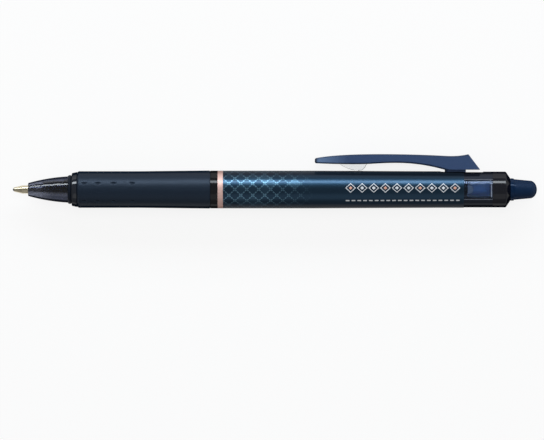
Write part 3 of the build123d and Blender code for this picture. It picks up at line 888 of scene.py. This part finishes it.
# %% Patchwork chain
chain_start, chain_end, chain_pitch = 33.6, 65.6, 3.2
chain_angle, links_per_radian = 0.08, 1.75
edge_at, edge_half, edge_fade = 0.41, 0.035, 0.055
heart_half, heart_fade = 0.15, 0.18
from_start = add(foil, "Math", {0: station, 1: chain_start}, operation="SUBTRACT")
link = add(foil, "Math", {0: from_start, 1: 1 / chain_pitch}, operation="MULTIPLY")
to_middle = add(foil, "Math", {0: link, 1: 0.5}, operation="PINGPONG")
to_middle = add(foil, "Math", {0: 0.5, 1: to_middle}, operation="SUBTRACT")
off_row = add(foil, "Math", {0: angle, 1: chain_angle}, operation="SUBTRACT")
off_row = add(foil, "Math", {0: off_row}, operation="ABSOLUTE")
across = add(foil, "Math", {0: off_row, 1: links_per_radian}, operation="MULTIPLY")
spread = add(foil, "Math", {0: to_middle, 1: across}, operation="ADD")
edge = add(foil, "Math", {0: spread, 1: edge_at}, operation="SUBTRACT")
edge = add(foil, "Math", {0: edge}, operation="ABSOLUTE")
edge = add(foil, "MapRange", {0: edge, 1: edge_half, 2: edge_fade, 3: 1.0, 4: 0.0})
heart = add(foil, "MapRange", {0: spread, 1: heart_half, 2: heart_fade, 3: 1.0, 4: 0.0})
marks = add(foil, "Math", {0: edge, 1: heart}, operation="MAXIMUM")
print("the chain has", round((chain_end - chain_start) / chain_pitch), "links")

# %% [markdown]
# ## Running stitch
#
# Below the chain runs one row of stitches, two to a link. It is the product of a band of the angle
# and a dash along the pen. Both prints are cut off where the chain starts and ends.

# %% Running stitch
row_angle, per_link = -0.64, 2.0
row_half, row_fade, dash_gap, dash_full = 0.032, 0.045, 0.16, 0.2
off_stitch = add(foil, "Math", {0: angle, 1: row_angle}, operation="SUBTRACT")
off_stitch = add(foil, "Math", {0: off_stitch}, operation="ABSOLUTE")
on_row = add(foil, "MapRange", {0: off_stitch, 1: row_half, 2: row_fade, 3: 1.0, 4: 0.0})
halves = add(foil, "Math", {0: link, 1: per_link}, operation="MULTIPLY")
dash = add(foil, "Math", {0: halves, 1: 0.5}, operation="PINGPONG")
dash = add(foil, "MapRange", {0: dash, 1: dash_gap, 2: dash_full, 3: 0.0, 4: 1.0})
running = add(foil, "Math", {0: on_row, 1: dash}, operation="MULTIPLY")
after_start = add(foil, "Math", {0: station, 1: chain_start}, operation="GREATER_THAN")
before_end = add(foil, "Math", {0: station, 1: chain_end}, operation="LESS_THAN")
inside_chain = add(foil, "Math", {0: after_start, 1: before_end}, operation="MULTIPLY")
printed = add(foil, "Math", {0: marks, 1: running}, operation="MAXIMUM")
printed = add(foil, "Math", {0: printed, 1: inside_chain}, operation="MULTIPLY")
print("running stitches are", chain_pitch / per_link, "mm apart")

# %% [markdown]
# ## Foil colours together
#
# The marks are printed in silver, and every third link's heart in rose gold. Both are a matt ink,
# so they lose most of the metal's shine. The ground darkens at a slant, partly as the ink's flop and
# partly as painted shade at the barrel's rims, and it is less metallic there, where the eye meets
# more lacquer than metal.

# %% Foil colours together
third = add(foil, "Math", {0: link}, operation="FLOOR")
third = add(foil, "Math", {0: third, 1: 3.0}, operation="FLOORED_MODULO")
third = add(foil, "Math", {0: third, 1: 0.5}, operation="LESS_THAN")
golden = add(foil, "Math", {0: third, 1: heart}, operation="MULTIPLY")
ink_colour = add(foil, "Mix", {0: golden, 6: "#d9dde2", 7: "#d8a592"}, data_type="RGBA")
# Flop and painted shade: the ground is mixed darker at a slant, towards the barrel's rims.
flop_and_painted_rim_shade = slant_share(foil, 0.12, 0.4, 0.0, 0.85)
flopped_with_painted_rim_shade = add(foil, "Mix", {0: flop_and_painted_rim_shade, 6: netted, 7: "#1c222b"}, data_type="RGBA")
foil_colour = add(foil, "Mix", {0: printed, 6: flopped_with_painted_rim_shade, 7: ink_colour}, data_type="RGBA")
shine = add(foil, "MapRange", {0: printed, 3: 1.0, 4: 0.35})
metal = slant_share(foil, 0.25, 0.55, 1.0, 0.3)
metallic = add(foil, "Math", {0: shine, 1: metal}, operation="MINIMUM")
feed(shader, {"Base Color": foil_colour, "Metallic": metallic})
dress(foil, "barrel_skin")

# %% [markdown]
# ## Navy clip
#
# The clip is navy polycarbonate from a spark-eroded mould, which gives a fine satin grain. Its
# colour turns paler towards the front, which is a painted highlight, and its rounded front end is
# painted darker, as painted shade. The bevels, seen at a slant, are darker: partly the pigment's
# flop, partly painted shade. The foot inside the barrel is painted pale, as painted light on the
# boss that shows in the window. All of this could be painted by hand, but ranges along and across
# the pen put each change in its place.

# %% Clip
navy, shader = finish_of("clip_polycarbonate_satin")
body_colour, parts, _ = grain(navy, shader, 0.3, ("#27395a", "#314668"), (0.32, 0.46), 0.004)
fade_gloss(navy, shader, 0.3)
tip, core_top = front("clip"), 3.0
# Painted highlight: the clip's colour turns paler over its front 9 mm.
pale = add(navy, "MapRange", {0: parts[0], 1: tip + 1.0, 2: tip + 9.0, 3: 0.55, 4: 0.0})
front_painted_highlight = add(navy, "Mix", {0: pale, 6: body_colour, 7: "#6d86a8"}, data_type="RGBA")
# Painted shade: the rounded front end is mixed darker.
tip_shade = add(navy, "MapRange", {0: parts[0], 1: tip + 0.35, 2: tip + 0.9, 3: 0.9, 4: 0.0})
front_highlight_and_tip_shade = add(navy, "Mix", {0: tip_shade, 6: front_painted_highlight, 7: "#1a2536"}, data_type="RGBA")
# Painted light: the foot inside the barrel, whose boss shows in the window, is made pale.
inside = add(navy, "MapRange", {0: parts[1], 1: core_top, 2: core_top + 0.4, 3: 1.0, 4: 0.0})
foot_painted_light = add(navy, "Mix", {0: inside, 6: front_highlight_and_tip_shade, 7: "#9fb4cc"}, data_type="RGBA")
# Flop and painted shade: the bevels and rims are mixed darker at a slant.
flop_and_painted_rim_shade = slant_share(navy, 0.15, 0.35, 0.0, 0.7)
flopped_with_painted_rim_shade = add(navy, "Mix", {0: flop_and_painted_rim_shade, 6: foot_painted_light, 7: "#1b2433"}, data_type="RGBA")
feed(shader, {"Base Color": flopped_with_painted_rim_shade})
dress(navy, "clip")

# %% [markdown]
# ## Clear plastics
#
# The clip's pad is water-clear. The barrel tube is the same plastic with a smoke dye, and shows
# only at the window behind the foil. Where light goes through its wall slantwise the dye makes it
# nearly black. A solid dye would need many bounces of light to show that, so the tint is a
# function of the angle round the axis: pale on the two sides that face the slider, and painted
# shade, dark and opaque, towards the clip and away from it.

# %% Pad and barrel tube
polycarbonate = {"IOR": 1.585, "Transmission_Weight": 1.0}
clear, shader = finish_of("clear_polycarbonate_polished", **polycarbonate)
grain(clear, shader, 1.5, ("#f2f4f6", "#fbfcfd"), (0.01, 0.04), 0.0005)
dress(clear, pad)

window, shader = finish_of("window_polycarbonate_smoke", Specular_Tint="#b4c8ec", **polycarbonate)
colours = ("#d2dcf0", "#dee7f6")
pale, _, angle = grain(window, shader, 2.0, colours, (0.11, 0.15), 0.001, stretch=(3, 1, 1))
sideways = add(window, "Math", {0: angle}, operation="SINE")
sideways = add(window, "Math", {0: sideways}, operation="ABSOLUTE")
# Painted shade: dark, opaque bands towards the clip and away from it.
painted_shade_bands = add(window, "MapRange", {0: sideways, 1: 0.54, 2: 0.58, 3: 0.0, 4: 1.0})
tint_and_painted_shade = add(window, "Mix", {0: painted_shade_bands, 6: pale, 7: "#14171e"}, data_type="RGBA")
clearness = add(window, "MapRange", {0: painted_shade_bands, 3: 1.0, 4: 0.0})
feed(shader, {"Base Color": tint_and_painted_shade, "Transmission Weight": clearness})
fade_gloss(window, shader, 0.6)
dress(window, "barrel_tube")

# %% [markdown]
# ## The click mechanism
#
# The blue slider, the white rotor and the black sleeve that they turn in are acetal, a slippery
# plastic that needs no grease, and so is the black ring behind the nose. It is dull, with hardly
# any highlight. The blue one is milky, so light spreads a little inside it and comes back out on
# its shaded side, and its thin rear edge is painted darker, as painted shade. Subsurface scattering
# is slow, and is kept to this one small piece.

# %% Slider, rotor and sleeve
milk = {"Subsurface_Weight": 0.9, "Subsurface_Radius": (1.0, 1.0, 1.0), "Subsurface_Scale": 1.5 * MM}
blue, shader = finish_of("slider_acetal_blue", **milk)
body_blue, parts, _ = grain(blue, shader, 0.8, ("#6186b8", "#6c92c6"), (0.5, 0.6), 0.002)
slider_end = rear("slider")
# Painted shade: the slider's rear edge is mixed darker.
rear_edge_painted_shade = add(blue, "MapRange", {0: parts[0], 1: slider_end - 0.5, 2: slider_end - 0.2, 3: 0.0, 4: 0.9})
shaded_blue = add(blue, "Mix", {0: rear_edge_painted_shade, 6: body_blue, 7: "#1a2746"}, data_type="RGBA")
feed(shader, {"Base Color": shaded_blue})
fade_gloss(blue, shader, 0.15)
dress(blue, "slider")
white, shader = finish_of("acetal_natural", Specular_IOR_Level=0.3)
grain(white, shader, 0.8, ("#d9d9d2", "#e8e8e2"), (0.35, 0.45), 0.002)
dress(white, "rotor")
sooty, shader = finish_of("acetal_black", Specular_IOR_Level=0.1)
grain(sooty, shader, 0.8, ("#10151e", "#171d28"), (0.5, 0.6), 0.002)
dress(sooty, "cam_sleeve", "nose_ring")

# %% [markdown]
# ## Eraser
#
# The eraser is a hard navy rubber. It is dull from use, with an end that is a little paler, and its
# flange, which is never rubbed, is still glossy from the mould. It is one moulding, so one finish
# covers it, and its gloss and colour change with the station.

# %% Eraser rubber
eraser, shader = finish_of("friction_rubber_moulded", Specular_Tint="#b4c8ec")
fade_gloss(eraser, shader, 0.3, end=0.6)
base, parts, _ = grain(eraser, shader, 0.4, ("#061a32", "#0a223e"), (0.26, 0.40), 0.005)
rough = add(eraser, "MapRange", {0: parts[0], 1: flange_rear, 2: flange_rear + 1.2, 3: 0.16, 4: 0.55})
worn = add(eraser, "MapRange", {0: parts[0], 1: stud_end - 2.2, 2: stud_end, 3: 0.0, 4: 0.2})
worn_base = add(eraser, "Mix", {0: worn, 6: base, 7: "#3a4964"}, data_type="RGBA")
feed(shader, {"Base Color": worn_base, "Roughness": rough})
dress(eraser, stud)

# %% [markdown]
# ## Metal of the tip and the spring
#
# The tip is turned from nickel silver, a pale yellowish alloy, and keeps the fine rings of the
# lathe. The ball is polished carbide. The spring is drawn steel wire, smooth along its length. All
# three are plain metals: their usual colour, the default IOR, and grain stretched the way that each
# was made.

# %% Tip, ball and spring
nickel, shader = finish_of("nickel_silver_turned", Metallic=1.0)
grain(nickel, shader, 0.1, ("#cfc3a6", "#e0d6bd"), (0.18, 0.30), 0.002, stretch=(1, 10, 10))
dress(nickel, "tip_body")
carbide, shader = finish_of("carbide_polished", Metallic=1.0)
grain(carbide, shader, 0.2, ("#4a4c52", "#5c5e64"), (0.06, 0.12), 0.001)
dress(carbide, "writing_ball")
steel, shader = finish_of("spring_steel_drawn", Metallic=1.0)
grain(steel, shader, 0.15, ("#b4b7bd", "#cdd0d5"), (0.14, 0.24), 0.001, stretch=(1, 6, 6))
dress(steel, spring)

# %% [markdown]
# ## Refill
#
# The refill's tube is natural polypropylene, which is milky. Behind the nose it shows only its
# front holder. The ink and the grease that follows it are inside, seen when the pen is opened.
# A little transmission gives the tube its milky look, where a full glass would look like air.

# %% Refill
milky, shader = finish_of("polypropylene_natural", Transmission_Weight=0.4, IOR=1.49)
grain(milky, shader, 1.0, ("#d2d6da", "#e2e5e8"), (0.30, 0.42), 0.002)
dress(milky, "tip_holder", "refill_tube", "tail_plug")
gel, shader = finish_of("gel_ink")
grain(gel, shader, 3.0, ("#081a5c", "#0c2272"), (0.12, 0.22), 0.002, stretch=(4, 1, 1))
dress(gel, "ink")
grease, shader = finish_of("follower_grease", Transmission_Weight=0.6, IOR=1.47)
grain(grease, shader, 1.0, ("#d0c07c", "#e0d49a"), (0.12, 0.2), 0.003)
dress(grease, "ink_follower")
